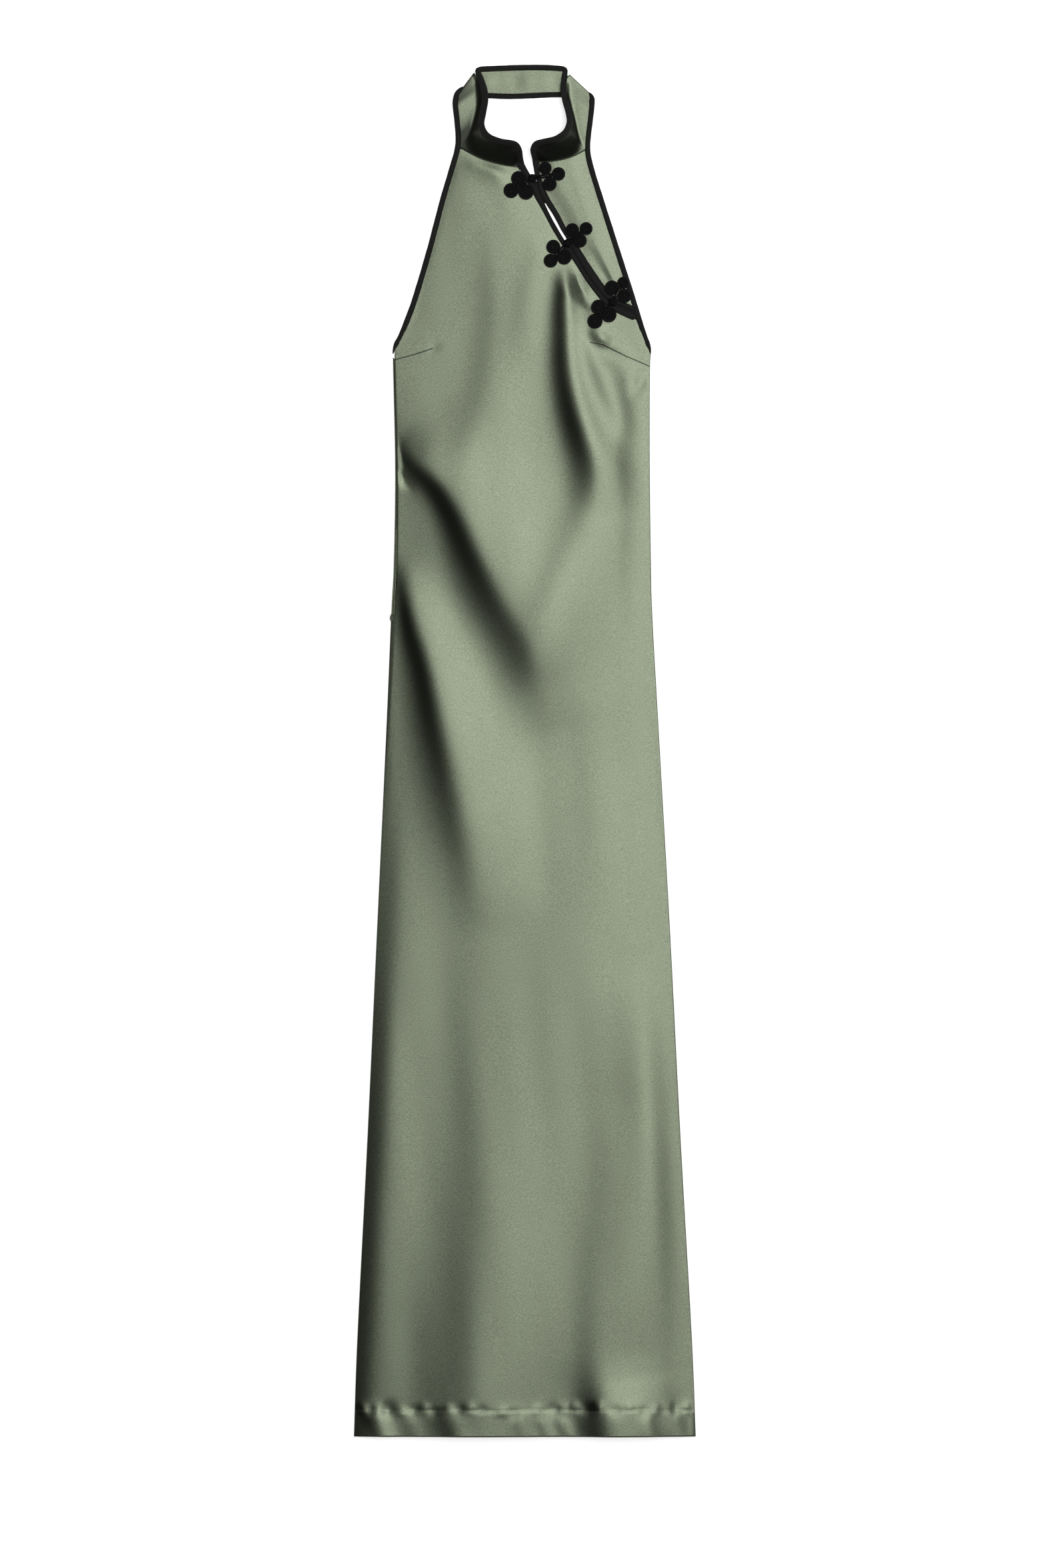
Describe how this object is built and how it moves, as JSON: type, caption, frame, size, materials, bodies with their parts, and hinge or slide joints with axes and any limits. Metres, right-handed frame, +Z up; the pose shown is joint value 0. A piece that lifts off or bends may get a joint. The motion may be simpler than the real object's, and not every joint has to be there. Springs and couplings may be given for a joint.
{
  "type": "midi dress",
  "caption": "Long halter dress in satin laid flat, with a stand collar, bound armholes, a bound diagonal front opening and knotted frog fastenings.",
  "frame": {"origin": "middle of the footprint on the surface that the dress lies on", "axes": "+Y from the hem to the collar, +X to the viewer's right as the front is seen, +Z up from the surface, out of the front"},
  "size_m": [0.3337, 1.3373, 0.0215],
  "materials": {
    "back_panel": "sage green satin",
    "front_panel": "sage green satin",
    "yoke_panel": "sage green satin",
    "collar_left": "sage green satin",
    "collar_right": "sage green satin",
    "neckband": "sage green satin",
    "side_zip": "sage green satin seam lip over a concealed zip",
    "armhole_binding_left": "black bias binding",
    "armhole_binding_right": "black bias binding",
    "collar_binding_left": "black bias binding",
    "collar_binding_right": "black bias binding",
    "opening_binding_front": "black bias binding",
    "opening_binding_yoke": "black bias binding",
    "neckband_binding_top": "black bias binding",
    "neckband_binding_bottom": "black bias binding",
    "back_neck_binding": "black bias binding",
    "frog_1_left": "black sewn cord",
    "frog_1_right": "black sewn cord",
    "frog_1_button": "black knotted cord",
    "frog_2_left": "black sewn cord",
    "frog_2_right": "black sewn cord",
    "frog_2_button": "black knotted cord",
    "frog_3_left": "black sewn cord",
    "frog_3_right": "black sewn cord",
    "frog_3_button": "black knotted cord"
  },
  "bodies": {
    "root": {"back_panel": "back_panel", "front_panel": "front_panel", "yoke_panel": "yoke_panel", "collar_left": "collar_left", "collar_right": "collar_right", "neckband": "neckband", "side_zip": "side_zip", "armhole_binding_left": "armhole_binding_left", "armhole_binding_right": "armhole_binding_right", "collar_binding_left": "collar_binding_left", "collar_binding_right": "collar_binding_right", "opening_binding_front": "opening_binding_front", "opening_binding_yoke": "opening_binding_yoke", "neckband_binding_top": "neckband_binding_top", "neckband_binding_bottom": "neckband_binding_bottom", "back_neck_binding": "back_neck_binding", "frog_1_left": "frog_1_left", "frog_1_right": "frog_1_right", "frog_1_button": "frog_1_button", "frog_2_left": "frog_2_left", "frog_2_right": "frog_2_right", "frog_2_button": "frog_2_button", "frog_3_left": "frog_3_left", "frog_3_right": "frog_3_right", "frog_3_button": "frog_3_button"}
  },
  "joints": []
}
